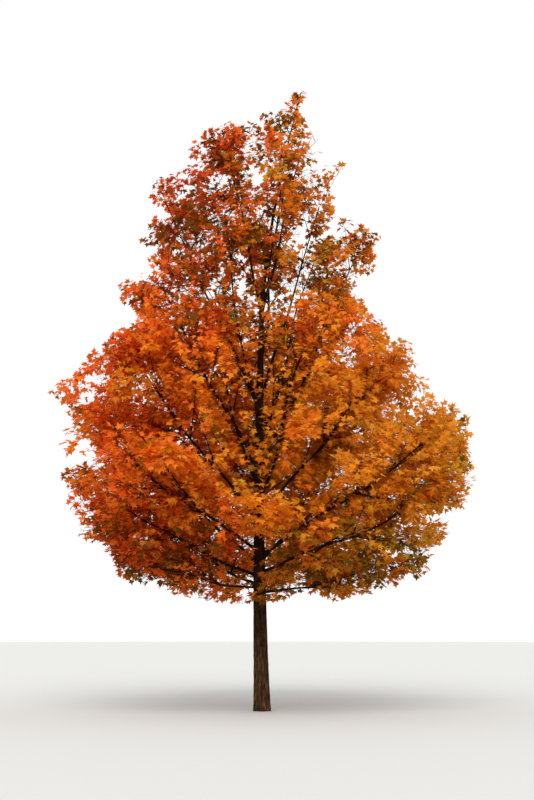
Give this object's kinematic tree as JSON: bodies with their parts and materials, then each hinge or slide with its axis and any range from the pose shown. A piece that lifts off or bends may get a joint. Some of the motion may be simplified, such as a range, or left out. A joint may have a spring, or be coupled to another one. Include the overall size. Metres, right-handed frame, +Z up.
{
  "type": "maple tree",
  "caption": "Young maple tree in red, orange and gold autumn leaf: a straight bare trunk with a flared foot under a broad crown that narrows to a leaning tip.",
  "frame": {"origin": "middle of the trunk's flat cut at ground level", "axes": "+Z up along the trunk, +X to the right and +Y away, as seen from the pictured side"},
  "size_m": [6.8881, 6.7294, 10.4661],
  "materials": {
    "bark": "rough, furrowed, matt",
    "leaf_crimson": "soft matt autumn leaf, a little light shows through",
    "leaf_scarlet": "soft matt autumn leaf, a little light shows through",
    "leaf_vermilion": "soft matt autumn leaf, a little light shows through",
    "leaf_orange": "soft matt autumn leaf, a little light shows through",
    "leaf_amber": "soft matt autumn leaf, a little light shows through",
    "leaf_gold": "soft matt autumn leaf, a little light shows through"
  },
  "bodies": {
    "root": {"trunk": "bark", "bough_01": "bark", "bough_02": "bark", "bough_03": "bark", "bough_04": "bark", "bough_05": "bark", "bough_06": "bark", "bough_07": "bark", "bough_08": "bark", "bough_09": "bark", "bough_10": "bark", "bough_11": "bark", "bough_12": "bark", "bough_13": "bark", "bough_14": "bark", "bough_15": "bark", "bough_16": "bark", "bough_17": "bark", "bough_18": "bark", "bough_19": "bark", "bough_20": "bark", "bough_21": "bark", "bough_22": "bark", "bough_23": "bark", "bough_24": "bark", "bough_25": "bark", "bough_26": "bark", "foliage_01": "leaf_gold", "foliage_02": "leaf_scarlet", "foliage_03": "leaf_scarlet", "foliage_04": "leaf_amber", "foliage_05": "leaf_crimson", "foliage_06": "leaf_gold", "foliage_07": "leaf_scarlet", "foliage_08": "leaf_amber", "foliage_09": "leaf_gold", "foliage_10": "leaf_crimson", "foliage_11": "leaf_vermilion", "foliage_12": "leaf_orange", "foliage_13": "leaf_crimson", "foliage_14": "leaf_gold", "foliage_15": "leaf_orange", "foliage_16": "leaf_vermilion", "foliage_17": "leaf_amber", "foliage_18": "leaf_scarlet", "foliage_19": "leaf_orange", "foliage_20": "leaf_vermilion", "foliage_21": "leaf_scarlet", "foliage_22": "leaf_orange", "foliage_23": "leaf_orange", "foliage_24": "leaf_orange", "foliage_25": "leaf_orange", "foliage_26": "leaf_vermilion", "foliage_top": "leaf_orange"}
  },
  "joints": []
}
